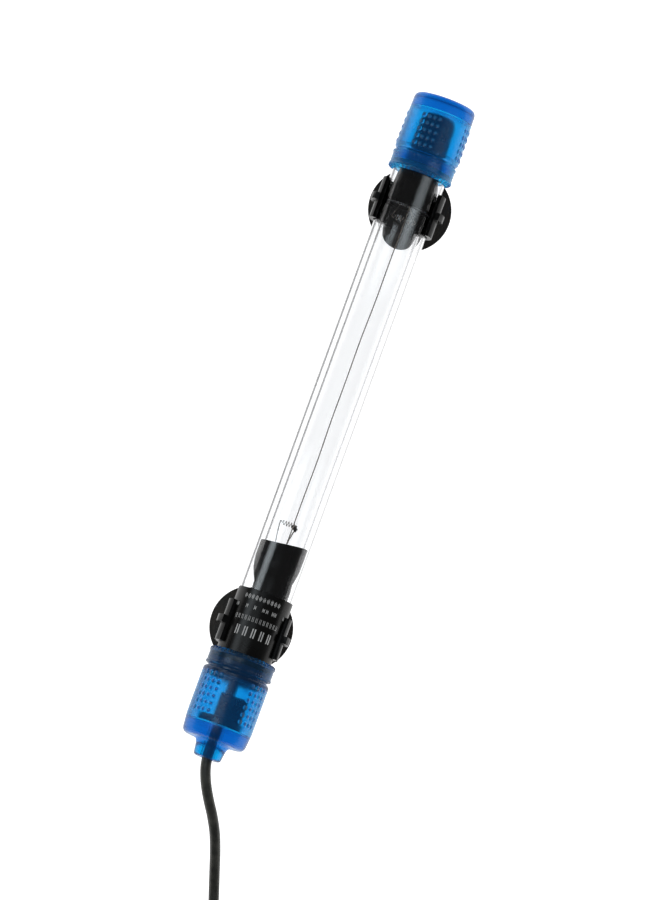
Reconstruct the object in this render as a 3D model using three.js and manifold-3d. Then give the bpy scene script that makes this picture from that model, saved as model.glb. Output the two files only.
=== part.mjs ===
// A submersible ultraviolet clarifier for an aquarium: a sealed quartz sleeve with a germicidal lamp
// inside, a screwed end cap at each end, two sliding clips with suction cups, and a mains cord.
// Units are millimetres, +Z is up and the lamp lies along X. The cups stand on z = 0.
import * as THREE from "three";
import { mergeVertices } from "three/addons/utils/BufferGeometryUtils.js";
import Module from "manifold-3d";

const wasm = await Module();
wasm.setup();

// ---- driving dimensions -------------------------------------------------------------------------
const AXIS_Z = 26; // height of the lamp's axis above the surface that the cups stand on
const ROUND = 32; // facets around a large turned piece
const FINE = 24; // facets around a small turned piece
const GAP = 0.3; // assembly gap between neighbouring solids
const HALF_LENGTH = 158.2; // from the middle to either end, cord left out

const SLEEVE = { rIn: 11.3, rOut: 12.5, low: -118.6, high: 134 };
const GLASS = { rIn: 8.6, rOut: 9.5, low: -70, high: 118 };
const LABEL = { rIn: 12.6, rOut: 12.85, low: -117.2, high: -80.1 };
const MOUTH = { lower: -56.1, upper: 106.6 }; // where each black boot ends on the lamp glass
const BOOT_WALL = 0.6;
const BOOT_SAG = -1.3; // how far the lower boot's narrow part hangs off the axis, in Y
const STEM_PINCH = { middle: 8.6, length: 4.5 }; // from the end of the lamp glass
const WIRE = { r: 0.25, y: -0.7, lift: 10.2 }; // the return wire outside the lamp glass

// Each end has a collar nut and a cap. "face" is the nut's tube side, "joint" its cap side,
// "shoulder" where the cap begins, "floor" the inner face of the cap's end wall.
const UPPER = {
  side: 1, face: 122, joint: 130.4, shoulder: 131.5, floor: 152.3,
  r: 15, rEnd: 14.4, neckIn: 12.8, neckOut: 13.6, thread: 13.9, endFillet: 2.3,
};
const LOWER = {
  side: -1, face: 109.3, joint: 117.2, shoulder: 118.6, floor: 143.7,
  r: 15.5, rEnd: 15.5, neckIn: 13.15, neckOut: 13.9, thread: 14.15, endFillet: 2.7,
};
const LIP = { rIn: 13.15, thick: 1.5 }; // the nut's inward lip that presses on the seal
const SEAL_LENGTH = 2.4;
const NOTCHES = 16; // around the tube-side rim of each nut
const BODY_END = 150.1; // where the lower cap's nozzle starts
const NOZZLE = { bore: 2.7, r: 6.3, rRoot: 9 };

const CLIP = { rIn: 13.1, rOut: 15, rRib: 17.2, length: 19.5, ribWidth: 3.3, tipAngle: 28 };
const CLIP_TURN = 3.2; // degrees that each clip is turned about the tube
const BUTTON_X = 3; // the cup's button sits this far from the middle of its clip
const SLOT = { plateLow: 5.7, plateHigh: 7.4, roof: 10.8, neck: 3.8, head: 5.6 };
const CUP = { r: 19, rRim: 17.2, rim: 1, hollow: 2.2, crown: 5.2, rNeck: 3.5, rHead: 5.2 };
const CUP_Y = 1.3; // sideways place of each cup under its turned clip
const CLIP_X = { upper: 106.8, lower: -96.7 };

const CORD_D = 4.8;
const COIL = { x: -272, y: 0.5, rInner: 19.3, pitch: 4.95, turns: 4, layers: 2 };
const TIE = { angle: 146.25, width: 6, thick: 0.8, lift: 0.05 }; // angle about the coil, in degrees
const CORD_EXIT = [-HALF_LENGTH, 0, AXIS_Z];
// The cord's route from the nozzle down to the surface and on to the coil.
const LEAD = [
  CORD_EXIT, [-160, -0.1, 26], [-163, -1.1, 25.9], [-166.8, -2.7, 25.5], [-171.3, -5, 24.5],
  [-175.9, -7.8, 22.8],
  [-181, -11.2, 20.1], [-187.4, -14.8, 15.9], [-194.6, -17.8, 11.1], [-202.4, -20.5, 6.9],
  [-211, -23.4, 3.9], [-220, -26.4, 2.6], [-230, -29.3, 2.45], [-240, -31.8, 2.45],
  [-250, -33.3, 2.45],
];
// The cord's end curls back over the coil to its plug, which lies on the coil.
const TAIL = [
  [-251.8, 28.2, 12.5], [-243.6, 20.9, 12.6], [-238.4, 11.8, 12.8], [-238.4, 1.2, 13.3],
  [-243.6, -7.9, 14.6], [-252.7, -13.1, 16.3], [-257.6, -13.8, 16.9],
];
const PLUG = { x: -258, y: -13.8, z: 16.95, relief: 12, length: 34, width: 35.3, thick: 13.7 };
const PIN = { r: 2, length: 19, spacing: 18.6 };

const COLOURS = {
  cap: [0x1284e0, 0.22, 0], quartz: [0xe8eef0, 0.05, 0], black: [0x1c1b1b, 0.5, 0],
  rubber: [0x1a1817, 0.7, 0], glass: [0xdfe6e8, 0.06, 0], wire: [0x9a9288, 0.35, 1],
  board: [0x2f6b3c, 0.6, 0], seal: [0xd9dde0, 0.4, 0], brass: [0xb9935a, 0.3, 1],
  film: [0x151414, 0.25, 0], white: [0xe6e4dd, 0.5, 0],
};

// ---- geometry helpers ---------------------------------------------------------------------------
const lamp = new THREE.Group();

/** Adds one named mesh to the lamp. */
function add(name, geometry, colour) {
  const [color, roughness, metalness] = COLOURS[colour];
  const material = new THREE.MeshStandardMaterial({ color, roughness, metalness });
  const mesh = new THREE.Mesh(geometry, material);
  mesh.name = name;
  lamp.add(mesh);
  return mesh;
}

/** Positions only, with shared vertices merged and faces pointing out. */
function closed(geometry) {
  const bare = geometry.clone();
  bare.deleteAttribute("normal");
  bare.deleteAttribute("uv");
  const merged = mergeVertices(bare, 1e-4);
  const index = Array.from(merged.index.array);
  const kept = [];
  for (let i = 0; i < index.length; i += 3) {
    const [a, b, c] = [index[i], index[i + 1], index[i + 2]];
    if (a !== b && b !== c && c !== a) kept.push(a, b, c);
  }
  if (signedVolume(merged.attributes.position, kept) < 0) kept.reverse();
  merged.setIndex(kept);
  return merged;
}

function signedVolume(position, index) {
  const corners = [new THREE.Vector3(), new THREE.Vector3(), new THREE.Vector3()];
  let total = 0;
  for (let i = 0; i < index.length; i += 3) {
    corners.forEach((corner, k) => corner.fromBufferAttribute(position, index[i + k]));
    total += corners[0].dot(corners[1].cross(corners[2]));
  }
  return total / 6;
}

/** A solid of revolution about the lamp's axis from [x, radius] points. */
function turned(profile, facets = ROUND) {
  const outline = profile.map(([x, r]) => new THREE.Vector2(r, x));
  const onAxis = profile[0][1] === 0 && profile.at(-1)[1] === 0;
  if (!onAxis) outline.push(outline[0].clone());
  const geometry = new THREE.LatheGeometry(outline, facets);
  geometry.rotateZ(-Math.PI / 2).translate(0, 0, AXIS_Z);
  return closed(geometry);
}

/** A solid of revolution about an upright axis from [radius, z] points. */
function spun(profile, facets = ROUND) {
  const outline = profile.map(([r, z]) => new THREE.Vector2(r, z));
  const onAxis = profile[0][0] === 0 && profile.at(-1)[0] === 0;
  if (!onAxis) outline.push(outline[0].clone());
  return closed(new THREE.LatheGeometry(outline, facets).rotateX(Math.PI / 2));
}

/** A plain pipe about the lamp's axis. */
function pipe(low, high, rIn, rOut, facets = ROUND) {
  return turned([[low, rIn], [high, rIn], [high, rOut], [low, rOut]], facets);
}

/** Points of a quarter round between two directions, in degrees, about a centre. */
function arc(cx, cy, r, from, to, steps = 3) {
  return Array.from({ length: steps + 1 }, (_, i) => {
    const a = THREE.MathUtils.degToRad(from + ((to - from) * i) / steps);
    return [cx + r * Math.cos(a), cy + r * Math.sin(a)];
  });
}

function toSolid(geometry) {
  const mesh = closed(geometry);
  const vertProperties = new Float32Array(mesh.attributes.position.array);
  const triVerts = new Uint32Array(mesh.index.array);
  return new wasm.Manifold(new wasm.Mesh({ numProp: 3, vertProperties, triVerts }));
}

function toGeometry(solid) {
  const mesh = solid.getMesh();
  const geometry = new THREE.BufferGeometry();
  geometry.setAttribute("position", new THREE.BufferAttribute(mesh.vertProperties, 3));
  geometry.setIndex(Array.from(mesh.triVerts));
  return geometry;
}

const joined = (...shapes) => toGeometry(shapes.map(toSolid).reduce((all, one) => all.add(one)));

/** The first shape with all the others cut out of it. */
function cut(shape, ...tools) {
  return toGeometry(tools.map(toSolid).reduce((left, tool) => left.subtract(tool), toSolid(shape)));
}

function box(x, y, z, cx, cy, cz) {
  return new THREE.BoxGeometry(x, y, z).translate(cx, cy, cz);
}

/** A round rod from one point to another. */
function rod(from, to, r, sides = 8) {
  const start = new THREE.Vector3(...from);
  const run = new THREE.Vector3(...to).sub(start);
  const geometry = new THREE.CylinderGeometry(r, r, run.length(), sides);
  const turn = new THREE.Quaternion().setFromUnitVectors(
    new THREE.Vector3(0, 1, 0), run.clone().normalize());
  return geometry.applyQuaternion(turn).translate(...start.addScaledVector(run, 0.5));
}

/** An outline in the YZ plane, drawn as (y, z), extruded along X from one place to another. */
function slab(shape, low, high, curveSegments = 12) {
  const geometry = new THREE.ExtrudeGeometry(shape, {
    depth: high - low, bevelEnabled: false, curveSegments,
  });
  const turn = new THREE.Matrix4().makeBasis(
    new THREE.Vector3(0, 1, 0), new THREE.Vector3(0, 0, 1), new THREE.Vector3(1, 0, 0));
  return geometry.applyMatrix4(turn).translate(low, 0, 0);
}

/** A round cord along a list of points. */
function cordAlong(points, steps, sides = 10) {
  const section = new THREE.Shape();
  for (let i = 0; i < sides; i++) {
    const a = (2 * Math.PI * i) / sides;
    const [x, y] = [(CORD_D / 2) * Math.cos(a), (CORD_D / 2) * Math.sin(a)];
    if (i === 0) section.moveTo(x, y);
    else section.lineTo(x, y);
  }
  const path = new THREE.CatmullRomCurve3(points.map((p) => new THREE.Vector3(...p)));
  return closed(new THREE.ExtrudeGeometry(section, { steps, extrudePath: path }));
}

// ---- the sleeve and the lamp inside it ----------------------------------------------------------
function addSleeveAndLamp() {
  add("quartz_sleeve", pipe(SLEEVE.low, SLEEVE.high, SLEEVE.rIn, SLEEVE.rOut), "quartz");
  add("label_band", pipe(LABEL.low, LABEL.high, LABEL.rIn, LABEL.rOut), "film");
  add("lamp_glass", pipe(GLASS.low, GLASS.high, GLASS.rIn, GLASS.rOut, FINE), "glass");
  const wireStart = [MOUTH.lower + GAP, WIRE.y, AXIS_Z + WIRE.lift];
  const wireEnd = [MOUTH.upper - GAP, WIRE.y, AXIS_Z + WIRE.lift];
  add("return_wire", rod(wireStart, wireEnd, WIRE.r), "wire");
}

/** The closed boot on the plain end of the lamp. */
function addUpperBoot() {
  const end = 151;
  const round = 2.5;
  const rGrip = GLASS.rOut + 0.15;
  const outer = [
    [end, 0], ...arc(end - round, 8 - round, round, 0, 90), [132, 8.5], [122.9, 9.2],
    [117.8, 10.1], [MOUTH.upper, 10.1],
  ];
  const inner = [
    [MOUTH.upper, rGrip], [118.4, rGrip], [122.9, 9.2 - BOOT_WALL], [132, 8.5 - BOOT_WALL],
    [end - round, 8 - BOOT_WALL], [end - BOOT_WALL, 8 - round], [end - BOOT_WALL, 0],
  ];
  add("boot_upper", turned([...outer, ...inner], FINE), "black");
  const ring = { x: 132.5, half: 0.6, rIn: 8.65, rOut: 9.7 };
  add("boot_ring_upper", pipe(ring.x - ring.half, ring.x + ring.half, ring.rIn, ring.rOut, FINE),
    "black");
}

/** How far off the axis the lower boot is at a place along X: only its middle stretch sags. */
function bootSag(x) {
  const fade = THREE.MathUtils.smoothstep(-x, 70.5, 76) - THREE.MathUtils.smoothstep(-x, 98, 107);
  return BOOT_SAG * fade;
}
/** The long boot that holds the cable end of the lamp and the ballast. */
function addLowerBoot() {
  const outer = [
    [MOUTH.lower, 10.7], [-64, 10.7], [-67.5, 10.3], [-71.5, 9.1], [-74.9, 8.5], [-84, 8.5],
    [-98, 8.5], [-102.5, 8.5], [-107, 8.5], [-120, 8.5],
  ];
  const inner = [
    [-120, 7.8], [-107, 7.8], [-102.5, 7.8], [-98, 7.8], [-84, 7.8], [-74.9, 7.8],
    [-71.5, 8.3], [-70.4, 9.7], [-64, 9.7], [MOUTH.lower, 9.7],
  ];
  const geometry = turned([...outer, ...inner], FINE);
  const place = geometry.attributes.position;
  for (let i = 0; i < place.count; i++) {
    place.setY(i, place.getY(i) + bootSag(place.getX(i)));
  }
  add("boot_lower", geometry, "black");
}

/** A glass stem: a flare inside the lamp's end and a flat pinch that carries the lead wires. */
function stem(end, side) {
  const flare = [
    [end - side * 0.5, 0], [end - side * 0.5, 8.3], [end - side * 1.6, 8.3],
    [end - side * 4.5, 3.4], [end - side * 7.5, 2.6], [end - side * 7.5, 0],
  ];
  const pinch = box(STEM_PINCH.length, 8.4, 2.2, end - side * STEM_PINCH.middle, 1, AXIS_Z);
  return joined(turned(flare, FINE), pinch);
}

/** A coated coil across the lamp and its two support leads, down to the stem's pinch. */
function filament(x, yFirst, yLast, footX, feet) {
  const r = { coil: 0.7, lead: 0.32 };
  const coil = rod([x, yFirst, AXIS_Z], [x, yLast, AXIS_Z], r.coil, 10);
  const first = rod([x, yFirst - 0.6, AXIS_Z], [footX, feet[0], AXIS_Z], r.lead);
  const last = rod([x, yLast + 0.6, AXIS_Z], [footX, feet[1], AXIS_Z], r.lead);
  return joined(coil, first, last);
}

function addElectrodes() {
  add("stem_upper", stem(GLASS.high, 1), "glass");
  add("stem_lower", stem(GLASS.low, -1), "glass");
  const reach = STEM_PINCH.middle + STEM_PINCH.length / 2 + GAP;
  add("filament_upper", filament(101.2, 5.4, -5.6, GLASS.high - reach, [3.6, -1.4]), "wire");
  add("filament_lower", filament(-46.4, 5.4, -2.3, GLASS.low + reach, [3.7, -0.4]), "wire");
}

/** The ballast that drives the lamp, on a small board inside the lower boot. */
function addBallast() {
  const board = { low: -98, high: -77, width: 13, thick: 1.6, top: AXIS_Z - 1.8 };
  const middle = (board.low + board.high) / 2;
  add("ballast_board", box(board.high - board.low, board.width, board.thick, middle, BOOT_SAG,
    board.top - board.thick / 2), "board");
  const capacitor = { r: 3.2, length: 10 };
  const rest = board.top + GAP;
  const capZ = rest + capacitor.r;
  add("ballast_capacitor", rod([board.high - 0.8, BOOT_SAG, capZ],
    [board.high - 0.8 - capacitor.length, BOOT_SAG, capZ], capacitor.r, 16), "black");
  const drum = { r: 3.6, waist: 2.6, flange: 0.9, height: 6.4 };
  const profile = [
    [0, 0], [drum.r, 0], [drum.r, drum.flange], [drum.waist, drum.flange],
    [drum.waist, drum.height - drum.flange], [drum.r, drum.height - drum.flange],
    [drum.r, drum.height], [0, drum.height],
  ];
  add("ballast_coil", spun(profile, 16).translate(board.low + 5, BOOT_SAG, rest), "brass");
}

// ---- the end caps -------------------------------------------------------------------------------
/** Mirrors a profile to its own end of the lamp. */
const at = (end, profile) => profile.map(([x, r]) => [end.side * x, r]);

/** A collar nut: a threaded ring with an inward lip and a notched rim on its tube side. */
function collarNut(end) {
  const chamfer = 0.5;
  const flute = 0.35; // height of the raised rims that border the nut
  const ring = turned(at(end, [
    [end.face, LIP.rIn], [end.face, end.r - chamfer], [end.face + chamfer, end.r],
    [end.face + 1.8, end.r], [end.face + 2.1, end.r - flute],
    [end.joint - 1.3, end.r - flute], [end.joint - 1, end.r],
    [end.joint - chamfer, end.r], [end.joint, end.r - chamfer],
    [end.joint, end.thread], [end.face + LIP.thick, end.thread],
    [end.face + LIP.thick, LIP.rIn],
  ]));
  const notches = Array.from({ length: NOTCHES }, (_, i) => {
    const notch = box(1.4, 1.5, 1.2, end.side * end.face, 0, end.r);
    return notch.rotateX((2 * Math.PI * (i + 0.5)) / NOTCHES).translate(0, 0, AXIS_Z);
  });
  return cut(ring, ...notches);
}
function seal(end) {
  const start = end.face + LIP.thick + GAP;
  return turned(at(end, [
    [start, end.neckIn], [start + SEAL_LENGTH, end.neckIn],
    [start + SEAL_LENGTH, end.neckOut], [start, end.neckOut],
  ]));
}

/** The threaded neck that a cap pushes into its nut, as the start of the cap's outline. */
function neckOutline(end) {
  const tip = end.face + LIP.thick + SEAL_LENGTH + 2 * GAP;
  return [[tip, end.neckIn], [tip, end.neckOut], [end.shoulder, end.neckOut]];
}

/** The plain cap: a thick-ended cup with a softly domed face. */
function upperCap() {
  const end = UPPER;
  const dome = 0.6;
  const face = HALF_LENGTH - dome;
  const inside = 1.6; // fillet at the bottom of the bore
  const corner = arc(face - end.endFillet, end.rEnd - end.endFillet, end.endFillet, 90, 0);
  return turned(at(end, [
    [end.floor, 0], ...arc(end.floor - inside, end.neckIn - inside, inside, 0, 90, 2),
    ...neckOutline(end), [end.shoulder, end.r - 0.7], [end.shoulder + 0.7, end.r],
    ...corner, [face + dome * 0.7, 6], [HALF_LENGTH, 0],
  ]));
}

/** The cable cap: the same cup with a nozzle that the cord leaves by. */
function lowerCap() {
  const end = LOWER;
  const corner = arc(BODY_END - end.endFillet, end.r - end.endFillet, end.endFillet, 90, 0);
  const tipRound = 1;
  const tip = arc(HALF_LENGTH - tipRound, NOZZLE.r - tipRound, tipRound, 90, 0, 2);
  return turned(at(end, [
    [end.floor, NOZZLE.bore], [end.floor, end.neckIn],
    ...neckOutline(end), [end.shoulder, end.r - 0.7], [end.shoulder + 0.7, end.r],
    ...corner, [BODY_END, NOZZLE.rRoot], [BODY_END + 1, 7.7], [BODY_END + 2.7, 7],
    ...tip, [HALF_LENGTH, NOZZLE.bore],
  ]));
}

function addCaps() {
  add("upper_collar_nut", collarNut(UPPER), "cap");
  add("lower_collar_nut", collarNut(LOWER), "cap");
  add("upper_seal", seal(UPPER), "seal");
  add("lower_seal", seal(LOWER), "seal");
  add("upper_cap", upperCap(), "cap");
  add("lower_cap", lowerCap(), "cap");
  const flange = { r: 12.7, thick: 2.3 };
  const start = -SLEEVE.low + GAP;
  add("bung_lower", turned(at(LOWER, [
    [start + flange.thick, 8.75], [start + flange.thick, flange.r], [start, flange.r],
    [start, 11.05], [start - 8.5, 11.05], [start - 8.5, 8.75],
  ]), FINE), "rubber");
}

/** The cord's way through the lower cap: leads, splice block, grommet and the cord's own stub. */
function addCableEntry() {
  const splice = { low: -138.8, high: -127.9, width: 12.6, height: 12, y: -2.5, screw: 2.1 };
  const middle = (splice.low + splice.high) / 2;
  const block = box(splice.high - splice.low, splice.width, splice.height, middle, splice.y, AXIS_Z);
  const top = AXIS_Z + splice.height / 2;
  const wells = [-3, 3].map((offset) =>
    rod([middle, splice.y + offset, top + 1], [middle, splice.y + offset, top - 4], splice.screw, 12));
  add("splice_block", cut(block, ...wells), "black");
  ["inner_lead_live", "inner_lead_neutral"].forEach((name, i) => {
    const y = i === 0 ? 1.1 : -1.1;
    add(name, rod([splice.high + GAP, y, AXIS_Z], [-112.6, y, AXIS_Z], 0.95), "film");
  });
  const grommet = { low: -LOWER.floor + GAP, high: splice.low - GAP, r: 10.1 };
  add("cable_grommet", pipe(grommet.low, grommet.high, NOZZLE.bore, grommet.r, FINE), "rubber");
  add("cord_stub", rod([grommet.high, 0, AXIS_Z], [-HALF_LENGTH + 2 * GAP, 0, AXIS_Z], CORD_D / 2, 12),
    "black");
}

// ---- the clips and their suction cups -----------------------------------------------------------
/** A C outline around the tube, open at the top, with ends that lean in over the tube. */
function clipOutline(rOut) {
  const tip = THREE.MathUtils.degToRad(CLIP.tipAngle);
  const shape = new THREE.Shape();
  shape.absarc(0, 0, rOut, Math.PI - tip, tip, false);
  shape.absarc(0, 0, CLIP.rIn, tip, Math.PI - tip, true);
  shape.closePath();
  return shape;
}

/** One clip about the origin of X, with the slot that takes the cup's button from the +X side. */
function clipSolid() {
  const half = CLIP.length / 2;
  const ring = slab(clipOutline(CLIP.rOut), -half, half, 24).translate(0, 0, AXIS_Z);
  const rib = slab(clipOutline(CLIP.rRib), -CLIP.ribWidth / 2, CLIP.ribWidth / 2, 24);
  rib.translate(0, 0, AXIS_Z);
  const boss = { low: -6, width: 14.4, top: 14 };
  const bossBlock = box(half - boss.low, boss.width, boss.top - SLOT.plateLow,
    (half + boss.low) / 2, 0, (boss.top + SLOT.plateLow) / 2);
  const tube = rod([-half - 1, 0, AXIS_Z], [half + 1, 0, AXIS_Z], CLIP.rIn, ROUND);
  const keyway = (r, low, high) => joined(
    rod([BUTTON_X, 0, low], [BUTTON_X, 0, high], r, FINE),
    box(half + 1 - BUTTON_X, 2 * r * 0.99, high - low, (half + 1 + BUTTON_X) / 2, 0,
      (low + high) / 2));
  const pocket = keyway(SLOT.head, SLOT.plateHigh, SLOT.roof);
  const slot = keyway(SLOT.neck, SLOT.plateLow - 1, SLOT.plateHigh + 0.5);
  const body = joined(ring, rib, cut(bossBlock, tube));
  return cut(body, pocket, slot);
}

/** One suction cup about the origin: a dished disc, a neck and a button head. */
function cupSolid() {
  const head = { low: 7.9, high: 10.1 };
  const dish = [[CUP.rRim, 0], [12.5, 1.2], [6.5, 2], [0, CUP.hollow]].reverse();
  return spun([
    ...dish, [CUP.r, 0], [CUP.r, CUP.rim], [14.5, 2.2], [9.5, 3.5], [6, 4.6],
    [CUP.rNeck, CUP.crown], [CUP.rNeck, head.low], [CUP.rHead, head.low],
    [CUP.rHead, head.high - 0.5], [CUP.rHead - 0.5, head.high], [0, head.high],
  ]);
}

function addClip(name, side) {
  const x = CLIP_X[name];
  const turn = THREE.MathUtils.degToRad(CLIP_TURN) * side;
  const clip = clipSolid().translate(0, 0, -AXIS_Z).rotateX(-turn).translate(x, 0, AXIS_Z);
  add(`${name}_clip`, clip, "black");
  const cup = add(`${name}_suction_cup`, cupSolid(), "rubber");
  cup.position.set(x + BUTTON_X, -side * CUP_Y, 0);
}

// ---- the cord outside the lamp ------------------------------------------------------------------
function addCord() {
  add("cord_lead", cordAlong(LEAD, 26), "black");
  add("cord_tail", cordAlong(TAIL, 9), "black");
  const r = CORD_D / 2;
  const ring = { rIn: COIL.rInner - r, rOut: COIL.rInner + (COIL.turns - 1) * COIL.pitch + r };
  const height = (COIL.layers - 1) * COIL.pitch + CORD_D;
  const soft = 1.4; // the ring's corners follow the round of the cord
  const section = [
    [ring.rIn, soft], [ring.rIn + soft, 0], [ring.rOut - soft, 0], [ring.rOut, soft],
    [ring.rOut, height - soft], [ring.rOut - soft, height], [ring.rIn + soft, height],
    [ring.rIn, height - soft],
  ];
  const groove = TIE.lift + TIE.thick + GAP;
  const middleY = (ring.rIn + ring.rOut) / 2;
  const wide = ring.rOut - ring.rIn + 2 * GAP;
  const turn = THREE.MathUtils.degToRad(TIE.angle - 90);
  const relief = box(TIE.width + 2 * GAP, wide + 2, 2 * groove, 0, middleY, 0).rotateZ(turn);
  add("cord_coil", cut(spun(section, 32), relief), "black").position.set(COIL.x, COIL.y, 0);
  const base = TIE.lift + TIE.thick;
  const hole = height + GAP - base;
  const centre = base + hole / 2;
  const outside = box(TIE.width, wide + 2 * TIE.thick, hole + 2 * TIE.thick, 0, middleY, centre);
  const inside = box(TIE.width + 2, wide, hole, 0, middleY, centre);
  add("coil_tie", cut(outside, inside).rotateZ(turn), "black").position.set(COIL.x, COIL.y, 0);
}

/** A flat two-pin plug that lies on its broad side, with a tapered strain relief. */
function addPlug() {
  const waist = 0.55; // the body's width at the cord end, as a share of its full width
  const front = PLUG.x - PLUG.relief - PLUG.length;
  const outline = new THREE.Shape();
  const half = PLUG.width / 2;
  outline.moveTo(0, -half);
  outline.lineTo(13, -half);
  outline.lineTo(PLUG.length - 2, -half * waist);
  outline.lineTo(PLUG.length, -half * waist + 2);
  outline.lineTo(PLUG.length, half * waist - 2);
  outline.lineTo(PLUG.length - 2, half * waist);
  outline.lineTo(13, half);
  outline.lineTo(0, half);
  outline.closePath();
  const body = new THREE.ExtrudeGeometry(outline, {
    depth: PLUG.thick - 2, bevelEnabled: true, bevelThickness: 1, bevelSize: 1, bevelOffset: -1,
    bevelSegments: 1,
  });
  body.translate(front, PLUG.y, PLUG.z - PLUG.thick / 2 + 1);
  const relief = new THREE.CylinderGeometry(CORD_D / 2 + 0.8, 5, PLUG.relief + 1, 16);
  relief.rotateZ(-Math.PI / 2).translate(PLUG.x - (PLUG.relief + 1) / 2, PLUG.y, PLUG.z);
  add("plug_body", joined(body, relief), "black");
  ["plug_pin_live", "plug_pin_neutral"].forEach((name, i) => {
    const y = PLUG.y + (i === 0 ? 0.5 : -0.5) * PIN.spacing;
    const round = 0.8;
    const shank = [
      [front - GAP, 0], [front - GAP, PIN.r], [front - PIN.length + round, PIN.r],
      [front - PIN.length, PIN.r - round], [front - PIN.length, 0],
    ];
    add(name, turned(shank, 12).translate(0, y, PLUG.z - AXIS_Z), "brass");
  });
}

addSleeveAndLamp();
addUpperBoot();
addLowerBoot();
addElectrodes();
addBallast();
addCaps();
addCableEntry();
addClip("upper", 1);
addClip("lower", -1);
addCord();
addPlug();

export default lamp;
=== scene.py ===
"""Looks for a submersible ultraviolet clarifier: a lamp in a quartz sleeve between two blue caps.

Lengths are in millimetres in the CAD's frame, and the mesh builders turn them into metres. The
lamp lies along X with its plain end towards +X, and its suction cups stand on Z = 0.
"""
import math
from math import cos, radians, sin

import bmesh
import bpy
from mathutils import Matrix, Vector


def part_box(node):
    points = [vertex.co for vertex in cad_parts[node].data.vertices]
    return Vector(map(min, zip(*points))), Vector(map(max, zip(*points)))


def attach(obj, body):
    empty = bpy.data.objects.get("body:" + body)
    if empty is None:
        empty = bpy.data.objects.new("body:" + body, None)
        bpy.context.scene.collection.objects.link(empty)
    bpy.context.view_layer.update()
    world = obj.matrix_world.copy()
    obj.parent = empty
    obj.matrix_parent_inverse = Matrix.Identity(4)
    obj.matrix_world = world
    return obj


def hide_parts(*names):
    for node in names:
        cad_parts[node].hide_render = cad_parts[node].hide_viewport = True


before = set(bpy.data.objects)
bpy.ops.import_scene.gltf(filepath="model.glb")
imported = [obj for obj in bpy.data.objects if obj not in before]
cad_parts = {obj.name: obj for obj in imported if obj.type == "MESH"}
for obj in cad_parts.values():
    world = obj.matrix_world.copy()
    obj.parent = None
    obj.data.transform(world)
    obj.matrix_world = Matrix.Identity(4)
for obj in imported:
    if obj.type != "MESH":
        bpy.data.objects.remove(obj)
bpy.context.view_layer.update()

MM = 0.001
CREASE = 38  # degrees between faces that still shade as one surface
FULL_TURN = 2 * math.pi
WHITE = (1, 1, 1, 1)


# ---- places and sizes from the frame ----
def span(node):
    """(low X, high X, largest half-width) of a CAD node, in millimetres."""
    low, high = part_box(node)
    return low.x / MM, high.x / MM, max(high.y - low.y, high.z - low.z) / 2 / MM


def middle(node):
    """The centre of a CAD node's box, in millimetres."""
    low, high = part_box(node)
    return (low + high) / 2 / MM


AXIS_Z = middle("quartz_sleeve").z
SLEEVE_LOW, SLEEVE_HIGH, SLEEVE_R = span("quartz_sleeve")
SLEEVE_WALL = 1.2
LAMP_LOW, LAMP_HIGH, LAMP_R = span("lamp_glass")
LAMP_WALL = 0.9
LABEL_LOW, LABEL_HIGH, LABEL_R = span("label_band")
CORD_D = 4.8


# ---- mesh builders ----
def soft_step(value, low, high):
    """0 below low, 1 above high, and a smooth rise between them."""
    t = min(max((value - low) / (high - low), 0), 1)
    return t * t * (3 - 2 * t)


def linked(name, data):
    """A new object in the scene."""
    thing = bpy.data.objects.new(name, data)
    bpy.context.scene.collection.objects.link(thing)
    return thing


def shade(mesh, crease=CREASE):
    """Smooth shading that breaks at sharp edges."""
    mesh.shade_smooth()
    mesh.set_sharp_from_angle(angle=radians(crease))


def finish_mesh(name, vertices, faces, look, crease=CREASE):
    """One smooth-shaded mesh object from vertices in millimetres, with its faces pointing out.

    look is a key of MATERIALS."""
    mesh = bpy.data.meshes.new(name)
    mesh.from_pydata([Vector(v) * MM for v in vertices], [], faces)
    draft = bmesh.new()
    draft.from_mesh(mesh)
    bmesh.ops.recalc_face_normals(draft, faces=draft.faces)
    draft.to_mesh(mesh)
    draft.free()
    shade(mesh, crease)
    mesh.materials.append(MATERIALS[look])
    return linked(name, mesh)


def ring_faces(rings, closed):
    """Quads between consecutive rings of vertex numbers. A ring of one number is a pole."""
    faces = []
    pairs = list(zip(rings, rings[1:]))
    if closed:
        pairs.append((rings[-1], rings[0]))
    for near, far in pairs:
        if len(near) == len(far) == 1:
            continue
        count = max(len(near), len(far))
        for i in range(count):
            j = (i + 1) % count
            if len(near) == 1:
                faces.append((near[0], far[j], far[i]))
            elif len(far) == 1:
                faces.append((near[i], near[j], far[0]))
            else:
                faces.append((near[i], near[j], far[j], far[i]))
    return faces


def rounded(corners, steps=5):
    """An outline from (u, v) or (u, v, fillet) corners, with each fillet as a short curve."""
    points = []
    count = len(corners)
    for i, corner in enumerate(corners):
        here = Vector(corner[:2])
        fillet = corner[2] if len(corner) > 2 else 0
        if not fillet:
            points.append(tuple(here))
            continue
        before = Vector(corners[i - 1][:2]) - here
        after = Vector(corners[(i + 1) % count][:2]) - here
        reach = min(fillet, 0.48 * before.length, 0.48 * after.length)
        start = here + before.normalized() * reach
        end = here + after.normalized() * reach
        for k in range(steps + 1):
            t = k / steps
            points.append(tuple(start * (1 - t) ** 2 + here * 2 * t * (1 - t) + end * t * t))
    return points


def rectangle(u0, u1, v0, v1, *fillets):
    """A rectangle's outline from (u0, v0) on, with one fillet for all corners or one for each."""
    fillets *= 4 // len(fillets)
    return rounded(list(zip((u0, u1, u1, u0), (v0, v0, v1, v1), fillets)))


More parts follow.
